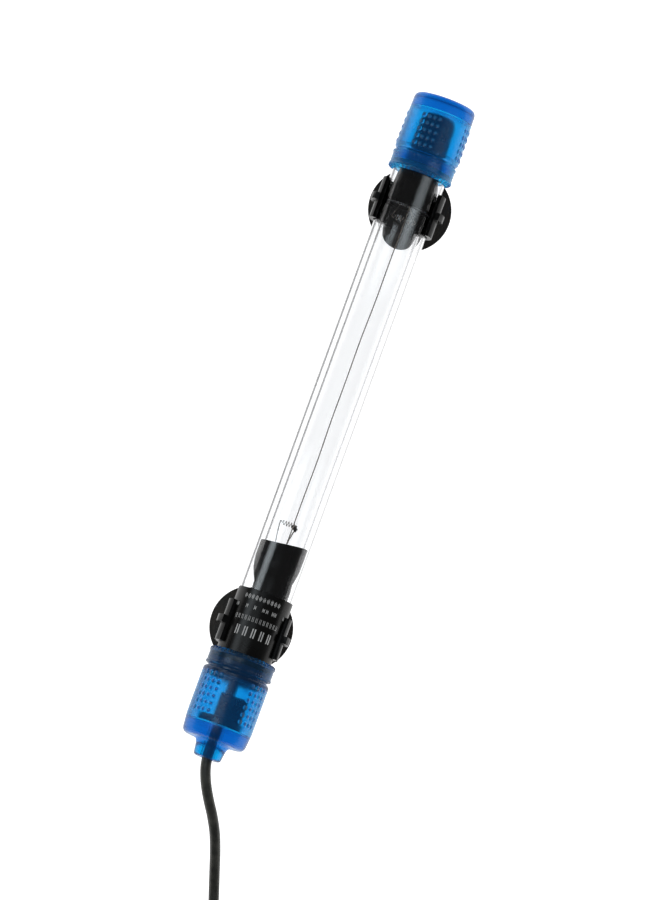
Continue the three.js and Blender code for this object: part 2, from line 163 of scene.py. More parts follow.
def lathe(name, outline, look, steps, at):
    """A body of rings, one to each (along, radius) of its outline, with poles where radius is 0.

    at(along, radius, angle) gives each vertex."""
    vertices = []
    rings = []
    for along, r in outline:
        count = steps if r > 0 else 1
        rings.append(list(range(len(vertices), len(vertices) + count)))
        vertices += [at(along, r, FULL_TURN * i / steps) for i in range(count)]
    return finish_mesh(name, vertices, ring_faces(rings, outline[0][1] > 0), look)


def revolve(name, outline, look, steps=96, push=None, shift=(0, 0)):
    """A body of revolution about the lamp's axis from (x, radius) points.

    push(x, radius, angle) moves a point by (along X, outwards). shift is the body's (y, z) offset,
    or gives it from x. Angles start at +Z and grow towards -Y."""
    def at(x, r, a):
        dy, dz = shift(x) if callable(shift) else shift
        dx, dr = push(x, r, a) if push and r > 0 else (0, 0)
        return x + dx, dy - (r + dr) * sin(a), AXIS_Z + dz + (r + dr) * cos(a)
    return lathe(name, outline, look, steps, at)


def spin(name, outline, look, centre, steps=96):
    """A body of revolution about an upright axis through centre from (radius, z) points."""
    def at(z, r, a):
        return centre[0] + r * cos(a), centre[1] + r * sin(a), z
    return lathe(name, [(z, r) for r, z in outline], look, steps, at)


def post(r, z0, z1, look, centre, steps):
    """An upright cylinder, as a tool for cutting."""
    return spin("post", [(0, z0), (r, z0), (r, z1), (0, z1)], look, centre, steps)


def sweep(name, path, radius, look, sides=12, crease=50):
    """A round tube along a list of points, closed at both ends. radius may be a list."""
    path = [Vector(p) for p in path]
    radii = radius if isinstance(radius, list) else [radius] * len(path)
    side = (path[1] - path[0]).normalized().orthogonal().normalized()
    vertices = [tuple(path[0])]
    rings = [[0]]
    for i, point in enumerate(path):
        ahead = (path[min(i + 1, len(path) - 1)] - path[max(i - 1, 0)]).normalized()
        side = (side - ahead * side.dot(ahead)).normalized()
        across = ahead.cross(side)
        rings.append(list(range(len(vertices), len(vertices) + sides)))
        for k in range(sides):
            a = FULL_TURN * k / sides
            vertices.append(tuple(point + (side * cos(a) + across * sin(a)) * radii[i]))
    rings.append([len(vertices)])
    vertices.append(tuple(path[-1]))
    return finish_mesh(name, vertices, ring_faces(rings, False), look, crease)


def smooth_path(points, per_span=6):
    """A Catmull-Rom line through the points."""
    points = [Vector(p) for p in points]
    padded = [points[0] * 2 - points[1], *points, points[-1] * 2 - points[-2]]
    line = []
    for i in range(len(points) - 1):
        a, b, c, d = padded[i:i + 4]
        for k in range(per_span):
            t = k / per_span
            line.append(0.5 * (b * 2 + (c - a) * t + (a * 2 - b * 5 + c * 4 - d) * t ** 2
                               + (b * 3 - a - c * 3 + d) * t ** 3))
    line.append(points[-1])
    return line


def prism(name, outline, low, high, look="clip"):
    """A (y, z) outline extruded along X."""
    count = len(outline)
    vertices = [(low, y, z) for y, z in outline] + [(high, y, z) for y, z in outline]
    faces = [tuple(range(count)), tuple(range(count, 2 * count))]
    faces += [(i, (i + 1) % count, count + (i + 1) % count, count + i) for i in range(count)]
    return finish_mesh(name, vertices, faces, look)


def block(name, low, high, look="clip"):
    """A box between two corners, as a tool for cutting or joining."""
    (x0, y0, z0), (x1, y1, z1) = low, high
    return prism(name, [(y0, z0), (y1, z0), (y1, z1), (y0, z1)], x0, x1, look)


def combined(base, tools, operation="DIFFERENCE"):
    """Cuts the tools out of base or joins them to it, and removes them."""
    for tool in tools:
        modifier = base.modifiers.new("combine", "BOOLEAN")
        modifier.operation = operation
        modifier.solver = "EXACT"
        modifier.object = tool
    applied(base)
    for tool in tools:
        bpy.data.objects.remove(tool)
    return base


def applied(thing):
    """Bakes a piece's modifiers into its mesh."""
    graph = bpy.context.evaluated_depsgraph_get()
    mesh = bpy.data.meshes.new_from_object(thing.evaluated_get(graph))
    thing.modifiers.clear()
    thing.data = mesh
    return thing


def bevelled(thing, width, segments=3, angle=32, edge_slot=-1):
    """Rounds the edges sharper than angle with real geometry, which may take another material."""
    modifier = thing.modifiers.new("bevel", "BEVEL")
    modifier.material = edge_slot
    modifier.width = width * MM
    modifier.segments = segments
    modifier.limit_method = "ANGLE"
    modifier.angle_limit = radians(angle)
    applied(thing)
    shade(thing.data)
    return thing


def merged(name, things):
    """One object from several that share a material."""
    joined = bmesh.new()
    for thing in things:
        joined.from_mesh(thing.data)
    mesh = bpy.data.meshes.new(name)
    joined.to_mesh(mesh)
    joined.free()
    mesh.materials.append(things[0].data.materials[0])
    shade(mesh)
    for thing in things:
        bpy.data.objects.remove(thing)
    return linked(name, mesh)


def place(piece, body, slot, *nodes):
    """Puts a finished piece on its body and hides the CAD nodes that it stands for. slot is not
    used.
    """
    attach(piece, body)
    if nodes:
        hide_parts(*nodes)
    return piece


# ---- materials ----
def surface(name, **values):
    """A principled material with constant sockets. Returns (material, node tree)."""
    material = bpy.data.materials.new(name)
    material.use_nodes = True
    fill(material.node_tree, material.node_tree.nodes["Principled BSDF"], **values)
    return material, material.node_tree


def fill(tree, node, **values):
    """Sets a node's inputs to numbers or colours, or links them to other nodes' outputs."""
    for name, value in values.items():
        socket = node.inputs[name.replace("_", " ")]
        if isinstance(value, bpy.types.NodeSocket):
            tree.links.new(value, socket)
        else:
            socket.default_value = value


def fed(tree, kind, output, **values):
    """The named output of a new node with these inputs."""
    node = tree.nodes.new("ShaderNode" + kind)
    fill(tree, node, **values)
    return node.outputs[output]


def noise_of(tree, scale, detail, stretch=None):
    """Noise in object space, with features counted per metre."""
    where = fed(tree, "TexCoord", "Object")
    if stretch:
        where = fed(tree, "Mapping", "Vector", Scale=stretch, Vector=where)
    return fed(tree, "TexNoise", "Fac", Scale=scale, Detail=detail, Vector=where)


def ramp_of(tree, source, edge, first, last):
    """A colour that goes from first to last as source goes from edge to 1 - edge."""
    ramp = tree.nodes.new("ShaderNodeValToRGB")
    for element, position, colour in zip(ramp.color_ramp.elements, (edge, 1 - edge), (first, last)):
        element.position = position
        element.color = (*colour, 1)
    fill(tree, ramp, Fac=source)
    return ramp.outputs["Color"]


def range_of(tree, source, low, high):
    """Noise spread between two limits."""
    return fed(tree, "MapRange", "Result", From_Min=0.3, From_Max=0.7, To_Min=low, To_Max=high,
               Value=source)


def bump_of(tree, source, strength, distance):
    """A bump normal. Distance is in millimetres."""
    return fed(tree, "Bump", "Normal", Strength=strength, Distance=distance * MM, Height=source)


def absorb_inside(tree, colour, density):
    """Absorption along each ray's way through a piece."""
    volume = fed(tree, "VolumeAbsorption", "Volume", Color=(*colour, 1), Density=density)
    fill(tree, tree.nodes["Material Output"], Volume=volume)


def grained(name, dark, light, rough, grain, depth, scale, stretch=None, **values):
    """An opaque surface of two close colours with varied roughness and a fine grain.

    grain and depth are the bump's strength and height, and scale counts grains per metre."""
    material, tree = surface(name, **values)
    broad = noise_of(tree, scale * 0.12, 3, stretch)
    fine = noise_of(tree, scale, 5, stretch)
    fill(tree, tree.nodes["Principled BSDF"], Base_Color=ramp_of(tree, broad, 0.35, dark, light),
         Roughness=range_of(tree, broad, *rough), Normal=bump_of(tree, fine, grain, depth))
    return material


def blue_plastic(name, tint, absorb, density, scatter, rough, glow=0.05, ior=1.4):
    """Tinted, slightly frosted plastic that deepens with thickness.

    A faint glow in the colour of scatter stands for the light scattered inside it."""
    material, tree = surface(name, Transmission_Weight=0.985, IOR=ior, Emission_Strength=glow,
                             Emission_Color=(*scatter, 1))
    broad = noise_of(tree, 160, 3)
    fine = noise_of(tree, 420, 3)
    light = tuple(c * 1.05 for c in tint)
    fill(tree, tree.nodes["Principled BSDF"], Base_Color=ramp_of(tree, broad, 0.3, tint, light),
         Roughness=range_of(tree, broad, *rough), Normal=bump_of(tree, fine, 0.06, 0.1))
    absorb_inside(tree, absorb, density)
    return material


def clear_glass(name, tint, ior, rough, density):
    """Drawn glass tube with faint draw lines along its length, greyer where it is seen edge on."""
    material, tree = surface(name, Base_Color=(*tint, 1), Transmission_Weight=1.0, IOR=ior)
    lines = noise_of(tree, 260, 3, (0.02, 1, 1))
    fill(tree, tree.nodes["Principled BSDF"], Roughness=range_of(tree, lines, *rough),
         Normal=bump_of(tree, lines, 0.04, 0.1))
    absorb_inside(tree, (0.1, 0.0, 0.04), density)
    return material


MATERIALS = {
    "cap": blue_plastic("blue_plastic", (0.11, 0.53, 0.77), (0.0, 0.85, 0.942), 428,
                        (0.0, 0.2, 0.65), (0.2, 0.28)),
    # the dots' tops: a darker tint as painted shade and a glow as a painted highlight
    "dot": blue_plastic("blue_plastic_domes_painted_light", (0.02, 0.12, 0.35), (0.0, 0.8, 0.938), 428,
                        (0.04, 0.32, 0.72), (0.1, 0.16), 0.2, ior=1.52),
    # a darker copy of the cap plastic for the lower nut and the cap beside it: painted shade
    "nut": blue_plastic("blue_plastic_painted_shade", (0.05, 0.3, 0.5), (0.0, 0.7, 0.85), 700,
                        (0.05, 0.2, 0.4), (0.18, 0.28), 0.035),
    "quartz": clear_glass("quartz_glass", (0.99, 0.995, 1.0), 1.46, (0.0, 0.02), 12),
    "lamp": clear_glass("lamp_glass_clear", (0.985, 0.99, 0.99), 1.5, (0.0, 0.03), 30),
    "clip": grained("clip_plastic", (0.012, 0.0117, 0.0117), (0.022, 0.0215, 0.021), (0.12, 0.2),
                    0.15, 0.04, 1500, IOR=1.12),
    "cup": grained("cup_rubber", (0.018, 0.015, 0.012), (0.045, 0.037, 0.03), (0.5, 0.66),
                   0.5, 0.12, 1100),
    "boot": grained("shrink_tube", (0.004, 0.004, 0.0045), (0.007, 0.0068, 0.007), (0.22, 0.3),
                    0.2, 0.05, 500, (0.35, 1, 1), IOR=1.25),
    "film": grained("label_film", (0.005, 0.0046, 0.004), (0.009, 0.0084, 0.0076), (0.24, 0.32),
                    0.12, 0.03, 700, IOR=1.4),
    # the print glows faintly: painted light that brightens the ink
    "print": grained("label_print_painted_glow", (0.4, 0.4, 0.4), (0.85, 0.85, 0.82), (0.4, 0.55),
                     0.1, 0.02, 1500, Emission_Color=WHITE, Emission_Strength=0.14),
    # a pale rim for the boot's cut edge: a painted highlight
    "painted_highlight_edge": grained("shrink_tube_painted_highlight", (0.16, 0.16, 0.17), (0.3, 0.3, 0.31), (0.4, 0.55),
                        0.3, 0.04, 1200),
    # lighter grey for the clips' bevelled rims: a painted highlight
    "clip_painted_highlight": grained("clip_painted_highlight", (0.16, 0.16, 0.16), (0.34, 0.34, 0.34), (0.2, 0.3),
                         0.1, 0.02, 1500),
    "seal": grained("silicone", (0.6, 0.64, 0.67), (0.72, 0.75, 0.78), (0.3, 0.42), 0.1, 0.03, 600,
                    Transmission_Weight=0.6),
    "wire": grained("lamp_wire", (0.3, 0.26, 0.23), (0.5, 0.45, 0.4), (0.3, 0.45), 0.2, 0.02, 3000,
                    (0.1, 1, 1), Metallic=1.0),
    "coating": grained("coil_coating", (0.035, 0.033, 0.03), (0.3, 0.28, 0.25), (0.5, 0.7),
                       0.5, 0.04, 4000),
    "board": grained("circuit_board", (0.01, 0.08, 0.03), (0.02, 0.13, 0.05), (0.3, 0.45),
                     0.2, 0.03, 1800),
    "copper": grained("coil_copper", (0.42, 0.17, 0.07), (0.6, 0.27, 0.12), (0.25, 0.4),
                      0.4, 0.06, 2600, (1, 1, 8), Metallic=1.0),
    "part": grained("moulded_black", (0.012, 0.012, 0.013), (0.022, 0.022, 0.023), (0.35, 0.5),
                    0.25, 0.05, 1600),
    "cord": grained("cord_jacket", (0.05, 0.05, 0.044), (0.11, 0.107, 0.092), (0.34, 0.5),
                    0.5, 0.1, 1400),
    "plug": grained("plug_plastic", (0.012, 0.012, 0.0125), (0.021, 0.021, 0.022), (0.4, 0.55),
                    0.45, 0.07, 2600),
    "nickel": grained("nickel_plate", (0.58, 0.56, 0.52), (0.7, 0.68, 0.64), (0.16, 0.28),
                      0.1, 0.01, 3000, (0.2, 1, 1), Metallic=1.0),
}


# ---- the camera ----
def add_camera():
    """A long lens over the lamp, tipped towards the cable end and rolled by the lamp's lean."""
    target = Vector((-8.4, -4.6, AXIS_Z)) * MM
    tip = radians(6.3)
    lean = radians(20.05)
    distance = 4.0  # metres
    back = Vector((-sin(tip), 0, cos(tip)))
    along = Vector((cos(tip), 0, sin(tip)))
    left = Vector((0, 1, 0))
    up = along * cos(lean) + left * sin(lean)
    right = up.cross(back)
    data = bpy.data.cameras.new("camera")
    shown = 405.0 * MM  # height of the view at the lamp
    data.sensor_width = 36
    data.lens = data.sensor_width * distance / shown
    data.clip_end = 20
    camera = linked("camera", data)
    turn = Matrix((right, up, back)).transposed().to_4x4()
    camera.matrix_world = Matrix.Translation(target + back * distance) @ turn
    bpy.context.scene.camera = camera


# ---- the cord ----
COIL_CENTRE = Vector((-272, 0.5, 0))
COIL = dict(inner=19.3, pitch=4.95, turns=4, layers=2, above=0.05)
TIE = dict(angle=146.25, thick=0.8, lift=0.05, slack=0.3)
LEAD = [
    (-140, 0, 26), (-149, 0, 26), (-154.5, 0, 26), (-158.2, -0.24, 26), (-162.3, -1.1, 25.9),
    (-166.8, -2.75, 25.5), (-171.3, -5, 24.5), (-175.9, -7.8, 22.8), (-181, -11.2, 20.1),
    (-187.4, -14.8, 15.9), (-194.6, -17.8, 11.1), (-202.4, -20.5, 6.9), (-211, -23.4, 3.9),
    (-220, -26.4, 2.6), (-230, -29.3, 2.45), (-240, -31.8, 2.45), (-250, -33.3, 2.45),
    (-260, -33.9, 2.45),
]
TAIL = [
    (-251.8, 28.2, 12.5), (-243.6, 20.9, 12.6), (-238.4, 11.8, 12.8), (-238.4, 1.2, 13.3),
    (-243.6, -7.9, 14.6), (-252.6, -13.0, 16.3), (-262, -13.8, 16.95), (-271, -13.8, 16.95),
]


def coil_points(per_turn=40):
    """Four turns inwards on the surface, a step up, and the rest outwards on top of them.

    The last stretch of the outermost turn climbs onto the coil, where the plug lies."""
    turns = COIL["turns"]
    total = turns * COIL["layers"] - 0.4  # to where the tail begins
    climb = 0.23  # share of a turn in which the end rises
    step_share = 0.42  # share of a turn in which the cord steps to its next ring
    squeeze = 0.8  # how far in the innermost turn leans while it climbs
    points = []
    for i in range(round(total * per_turn)):
        t = i / per_turn
        whole = int(t)
        step = soft_step(t - whole, 1 - step_share, 1)
        ring = whole if whole < turns else 2 * turns - 1 - whole
        towards = 0 if whole in (turns - 1, 2 * turns - 1) else (-1 if whole < turns else 1)
        radius = COIL["inner"] + COIL["pitch"] * (turns - 1 - ring + towards * step)
        if whole == turns - 1:
            radius -= squeeze * 4 * step * (1 - step)
        layer = step if whole == turns - 1 else float(whole >= turns)
        rise = COIL["pitch"] * (layer + soft_step(t, total - climb, total + 0.02))
        angle = -math.pi / 2 - FULL_TURN * t
        height = CORD_D / 2 + COIL["above"] + rise + tie_lift(angle, layer)
        points.append(COIL_CENTRE + Vector((radius * cos(angle), radius * sin(angle), height)))
    return points


def tie_lift(angle, layer):
    """How much the lower turns rise where they pass over the tie, and the upper ones anywhere."""
    away = abs(math.remainder(angle - radians(TIE["angle"]), FULL_TURN))
    over_tie = 1 - soft_step(away, 0.1, radians(40))
    return 0.12 * layer + 0.85 * (1 - layer) * over_tie


def add_cord():
    """The cord as one bevelled curve, from inside the nozzle round the coil to the plug."""
    path = smooth_path(LEAD, 4) + coil_points() + smooth_path(TAIL, 4)
    curve = bpy.data.curves.new("cord", "CURVE")
    curve.dimensions = "3D"
    spline = curve.splines.new("POLY")
    spline.points.add(len(path) - 1)
    for point, where in zip(spline.points, path):
        point.co = (*(where * MM), 1)
    spline.use_smooth = True
    curve.bevel_depth = CORD_D / 2 * MM
    curve.bevel_resolution = 5
    curve.use_fill_caps = True
    curve.materials.append(MATERIALS["cord"])
    cord = linked("mains_cord", curve)
    place(cord, "cable_cap", "cord_black", "cord_stub", "cord_lead", "cord_coil", "cord_tail")
    return cord


def add_coil_tie():
    """A strap around the coil's section, with rounded corners."""
    thick, slack = TIE["thick"], TIE["slack"]
    y0 = COIL["inner"] - CORD_D / 2 - slack
    y1 = COIL["inner"] + (COIL["turns"] - 1) * COIL["pitch"] + CORD_D / 2 + slack
    z0 = TIE["lift"] + thick
    z1 = COIL["pitch"] + CORD_D + slack
    inside = rectangle(y0, y1, z0, z1, 1.4)
    outside = rectangle(y0 - thick, y1 + thick, z0 - thick, z1 + thick, 2)
    strap = prism("coil_strap", outside, -2.9, 2.9, "part")
    hole = prism("strap_hole", inside, -5, 5)
    strap = bevelled(combined(strap, [hole]), 0.15, 2)
    turn = Matrix.Rotation(radians(TIE["angle"] - 90), 4, "Z")
    strap.data.transform(Matrix.Translation(COIL_CENTRE * MM) @ turn)
    return place(strap, "cable_cap", "part_black", "coil_tie")


def add_plug():
    """A flat two-pin plug that narrows towards a ribbed strain relief."""
    low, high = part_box("plug_body")
    centre = middle("plug_body")
    front, tail = low.x / MM, high.x / MM
    back = tail - 12  # where the shell ends and the relief begins
    half = (high.y - low.y) / 2 / MM
    thick = (high.z - low.z) / MM
    stations = [  # along X from the pin face: x, half-width, half-thickness
        (front, half - 1.2, thick / 2 - 1.2), (front + 0.5, half - 0.4, thick / 2 - 0.4),
        (front + 1.4, half, thick / 2), (front + 11, half, thick / 2),
        (front + 14, half - 0.8, thick / 2 - 0.1), (front + 19, half - 4.4, thick / 2 - 0.9),
        (front + 25, half - 7.4, thick / 2 - 1.3), (back - 2, half - 8.4, thick / 2 - 1.2),
        (back - 0.6, half - 8.9, thick / 2 - 1.5), (back, half - 9.8, thick / 2 - 2.2),
    ]
    power = 0.34  # how square the section is: 1 would be an ellipse

    def at(i, whole, a):
        x, wide, tall = stations[i]
        y, z = (abs(c) ** power * math.copysign(whole, c) for c in (cos(a), sin(a)))
        return x, centre.y + wide * y, centre.z + tall * z
    shell = [(0, 0), *((i, 1) for i in range(len(stations))), (-1, 0)]
    body = lathe("plug_shell", shell, "plug", 56, at)
    relief = revolve("plug_relief", relief_outline(back, tail), "plug", 40,
                     shift=(centre.y, centre.z - AXIS_Z))
    pins = []
    r_pin, r_cover, covered = 2, 2.02, 9
    for name in ("plug_pin_live", "plug_pin_neutral"):
        pin_low, pin_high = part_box(name)
        offset = (pin_low.y + pin_high.y) / 2 / MM, centre.z - AXIS_Z
        tip, root = pin_low.x / MM, pin_high.x / MM + 1
        shank = rounded([(root, 0), (root, r_pin), (tip, r_pin, 1.3), (tip, 0)])
        pin = revolve(name + "_metal", shank, "nickel", 40, shift=offset)
        sleeve = rounded([(root, 1.6), (root, r_cover), (root - covered, r_cover, 0.2),
                          (root - covered, 1.6)])
        cover = revolve(name + "_cover", sleeve, "plug", 40, shift=offset)
        place(pin, "cable_cap", "pin_nickel", name)
        place(cover, "cable_cap", "plug_black")
        pins += [pin, cover]
    place(body, "cable_cap", "plug_black", "plug_body")
    place(relief, "cable_cap", "plug_black")
    return [body, relief, *pins]


def relief_outline(back, tail, ribs=6, pitch=1.95, r_first=4.4, taper=0.26):
    """A tapering row of ribs round the cord, from inside the shell to the cord's exit."""
    outline = [(back - 1, 0), (back - 1, 3.9)]
    for i in range(ribs):
        x = back + 0.2 + i * pitch
        r = r_first - taper * i
        outline += [(x, r - 0.7), (x + 0.25, r), (x + 1.2, r - 0.05), (x + 1.45, r - 0.75)]
    return [*outline, (tail, 2.75), (tail, 2.5), (tail - 3, 2.45), (tail - 3, 0)]


# ---- the glass and what is in it ----
def tube_outline(low, high, r_in, r_out, edge, spans=12):
    """A tube's section with rounded rims, and stations along it that keep its shading true."""
    first = low + 2.2 * edge
    length = high - low - 4.4 * edge
    stations = [first + length * i / spans for i in range(spans + 1)]
    inner = [(low, r_in, edge), *((x, r_in) for x in stations), (high, r_in, edge)]
    outer = [(high, r_out, edge), *((x, r_out) for x in reversed(stations)), (low, r_out, edge)]
    return rounded(inner + outer)


def add_glass():
    """The quartz sleeve, the lamp's thin glass and its two stems."""
    sleeve = tube_outline(SLEEVE_LOW, SLEEVE_HIGH, SLEEVE_R - SLEEVE_WALL, SLEEVE_R, 0.5)
    place(revolve("quartz_tube", sleeve, "quartz", 128), "lamp", "quartz", "quartz_sleeve")
    lamp = tube_outline(LAMP_LOW, LAMP_HIGH, LAMP_R - LAMP_WALL, LAMP_R, 0.4)
    place(revolve("lamp_tube", lamp, "lamp", 112), "lamp", "lamp_glass", "lamp_glass")
    for name, side in (("stem_upper", 1), ("stem_lower", -1)):
        add_stem(name, side)


def add_stem(name, side):
    """A flared glass stem with its flat pinch, inside the lamp's end."""
    low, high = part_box(name)
    end = (high.x if side > 0 else low.x) / MM
    tip = (low.x if side > 0 else high.x) / MM
    flare = [(end, 0), (end, 8.2, 0.4), (end - side * 1.2, 8.2, 0.5), (end - side * 4.4, 3.3, 1.5),
             (end - side * 7.4, 2.6, 0.6), (end - side * 7.6, 0)]
    body = revolve(name + "_flare", rounded(flare), "lamp", 48)
    x0, x1 = sorted((end - side * 7.0, tip))
    pinch = rectangle(-3.2, 5.2, AXIS_Z - 1.1, AXIS_Z + 1.1, 0.9)
    flat = bevelled(prism("pinch", pinch, x0, x1, "lamp"), 0.3, 2)
    place(merged(name + "_glass", [body, flat]), "lamp", "lamp_glass", name)


def helix(start, end, radius, turns, per_turn):
    """Points of a coil wound about the line between two points."""
    start, end = Vector(start), Vector(end)
    along = (end - start).normalized()
    across = along.orthogonal().normalized()
    other = along.cross(across)
    count = round(turns * per_turn)
    points = []
    for i in range(count + 1):
        a = FULL_TURN * i / per_turn
        points.append(start.lerp(end, i / count) + (across * cos(a) + other * sin(a)) * radius)
    return points


def add_filament(name, first_y, last_y, feet, clump):
    """A coil on two bent lead wires, with a lump of its coating at one end.

    first_y and last_y are where the leads meet the coil, feet where they start, and clump the two
    ends of the lump, all along Y."""
    low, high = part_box(name)
    lower = low.x + high.x < 0
    out = 1 if lower else -1  # along X, away from the lamp's end
    coil_x = (high.x if lower else low.x) / MM - out * 0.7
    foot_x = (low.x if lower else high.x) / MM
    r_coil, r_coil_wire, r_lead = 1.1, 0.17, 0.3
    wound = helix((coil_x, first_y - 0.9, AXIS_Z), (coil_x, last_y + 0.6, AXIS_Z), r_coil, 5, 20)
    parts = [sweep("coil", wound, r_coil_wire, "wire", 8)]
    for y, foot in ((first_y, feet[0]), (last_y, feet[1])):
        inward = -0.6 if y > foot or y > 0 else 0.6
        line = smooth_path([(coil_x + out * 0.25, y + inward * 1.4, AXIS_Z),
                            (coil_x + out * 0.35, y + inward * 0.3, AXIS_Z + 0.1),
                            (coil_x - out * 0.5, y, AXIS_Z),
                            ((coil_x + foot_x) / 2, (y + foot) / 2 + 0.2, AXIS_Z - 0.1),
                            (foot_x, foot, AXIS_Z)], 8)
        parts.append(sweep("lead", line, r_lead, "wire", 10))
    place(merged(name + "_wires", parts), "lamp", "lead_metal", name)
    grains = helix((coil_x, clump[0], AXIS_Z), (coil_x - out * 1.6, clump[1], AXIS_Z), 0.5, 5, 12)
    sizes = [0.45 + 0.16 * sin(i * 1.7) for i in range(len(grains))]
    place(sweep(name + "_coating", grains, sizes, "coating", 8), "lamp", "lead_metal")


def add_return_wire():
    """The wire that runs back outside the lamp from boot to boot, not quite straight."""
    centre = middle("return_wire")
    low, high, _ = span("return_wire")
    into_lower, into_upper = 4, 6  # how far its ends reach on under the boots
    line = []
    count = 60
    for i in range(count + 1):
        x = low - into_lower + (high - low + into_lower + into_upper) * i / count
        bow = 0.16 * sin(x / 17) + 0.08 * sin(x / 6.1 + 1)
        line.append((x, centre.y + bow, centre.z - 0.22 - 0.05 * cos(x / 23)))
    place(sweep("return_lead", line, 0.25, "wire"), "lamp", "lead_metal", "return_wire")


# ---- the black boots and the label ----
BOOT_SAG = -1.3


def lower_sag(x):
    """The lower boot's (y, z) offset from the axis: only its middle stretch sags."""
    return BOOT_SAG * (soft_step(-x, 70.5, 76) - soft_step(-x, 98, 107)), 0


def wire_bulge(angle, wire_y=-0.7, r=10.0):
    """How much a boot stands out over the return wire."""
    height, reach = 0.42, 0.75
    away = math.remainder(angle - math.asin(-wire_y / r), FULL_TURN) * r
    return height * math.exp(-(away / reach) ** 2)


def shrink_ripple(x, angle):
    """The faint unevenness of a shrunk tube."""
    return (0.05 * sin(x * 0.55 + 2.1 * sin(angle))
            + 0.04 * sin(3 * angle + x * 0.21) + 0.025 * sin(7 * angle - x * 0.9))


def add_upper_boot():
    """The plain end's boot: closed at its far end, with a pale rim on its cut edge, painted as a
    highlight, and a thin ring.
    """
    low, high, _ = span("boot_upper")

    def push(x, r, a):
        on_lamp = 1 - soft_step(x, 114, 120)
        fade = 1 - soft_step(x, high - 4, high)
        return 0, wire_bulge(a) * on_lamp + shrink_ripple(x, a) * (1 - 0.7 * on_lamp) * fade
    skin = [(high, 0), (high, 5.5, 1.2), (high - 1.2, 7.2, 1.2), (high - 4, 8.05, 1.5)]
    body = [(132, 8.5), (127.5, 8.75), (122.9, 9.2), (120, 9.75)]
    steps = [(low + 9.5, 10.05), (low + 5, 10.1), (low, 10.1, 0.25), (low, 9.7, 0.1)]
    inside = [(118.2, 9.7), (122.9, 8.6), (132, 7.9), (high - 4, 7.3), (high - 1.4, 5),
              (high - 1, 0)]
    outline = rounded(skin + body + steps + inside)
    place(revolve("boot_upper_skin", outline, "boot", 96, push), "lamp", "boot_black", "boot_upper")
    # the cut edge's rim is real geometry, its pale colour a painted highlight
    edge = rectangle(low - 0.2, low + 0.35, 9.72, 10.16, 0.1, 0.1, 0.15, 0.2)
    place(revolve("boot_cut_edge", edge, "painted_highlight_edge"), "lamp", "boot_black")
    ring_low, ring_high, ring_r = span("boot_ring_upper")
    ring = rectangle(ring_low, ring_high, 8.7, ring_r, 0.4, 0.4, 0.5, 0.5)
    place(revolve("boot_ring", ring, "boot"), "lamp", "boot_black", "boot_ring_upper")


def add_lower_boot():
    """The cable end's long boot: wide over the lamp, then narrow over the ballast."""
    low, high, r = span("boot_lower")

    def push(x, radius, a):
        on_lamp = soft_step(x, -68, -62)
        slant = 0.35 * cos(2 * a + 0.6) - sin(a)  # the mouth is cut askew
        return (-slant * soft_step(x, high - 3, high),
                wire_bulge(a, r=10.6) * on_lamp * 0.5 + shrink_ripple(x, a) * (1 - 0.6 * on_lamp))
    outer = [(high, r, 0.3), (-60, r), (-64, 10.68), (-67, 10.45), (-69.5, 9.95), (-72, 9.25),
             (-75.5, 8.68), (-80, 8.52), (-86, 8.5), (-92, 8.5), (-98, 8.5), (-104, 8.5),
             (-110, 8.5), (low, 8.5, 0.3)]
    inner = [(low, 7.85, 0.2), (-110, 7.85), (-98, 7.85), (-86, 7.85), (-76, 7.9), (-71.6, 8.5),
             (-70.3, 9.7), (-64, 9.72), (high, 9.72, 0.2)]
    boot = revolve("boot_lower_skin", rounded(outer + inner), "boot", 96, push, lower_sag)
    place(boot, "lamp", "boot_black", "boot_lower")


def add_label():
    """A glossy film wound round the sleeve, with rows of plain printed bars."""
    film = tube_outline(LABEL_LOW, LABEL_HIGH, LABEL_R - 0.22, LABEL_R, 0.08)
    place(revolve("label_wrap", film, "film", 128), "lamp", "label_film", "label_band")
    marks = []  # (x of the row, height along X, angle, width in degrees)
    for i in range(10):  # two rows of short marks, each of three fine strokes
        for k, tall in enumerate((1.5, 2.3, 1.1 + 0.25 * (i % 4))):
            marks.append((-83.6, tall, -40 + 8.2 * i + 1.9 * (k - 1), 0.9))
    for angle in (-60, -54, -30, -12, 6, 14, 27, 33, 58):
        for k, tall in enumerate((1.9, 1.0, 1.6)):
            marks.append((-88.1, tall, angle + 1.7 * (k - 1), 0.9))
    for i in range(13):  # a row of small pairs
        marks += [(-93.4, 2.2, -47 + 7.8 * i + 1.3 * side, 0.7) for side in (-1, 1)]
    for i in range(5):  # the large row
        marks += [(-99.4, 4.4, -33 + 17.5 * i + 2.6 * side, 2.4) for side in (-1, 1)]
    place(merged("label_bars", [printed_bar(*mark) for mark in marks]), "lamp", "label_film")


def printed_bar(row_x, tall, angle, wide, steps=5):
    """One raised ink bar that follows the tube's curve."""
    vertices = []
    for r in (LABEL_R + 0.004, LABEL_R + 0.03):
        for x in (row_x - tall / 2, row_x + tall / 2):
            for i in range(steps + 1):
                a = radians(angle - wide / 2 + wide * i / steps)
                vertices.append((x, -r * sin(a), AXIS_Z + r * cos(a)))
    n = steps + 1  # vertices in each of the bar's four long edges
    faces = []
    for i in range(steps):
        for a, b in ((0, 1), (2, 3), (0, 2), (1, 3)):
            faces.append((a * n + i, a * n + i + 1, b * n + i + 1, b * n + i))
    for i in (0, steps):
        faces.append((i, n + i, 3 * n + i, 2 * n + i))
    return finish_mesh("bar", vertices, faces, "print")
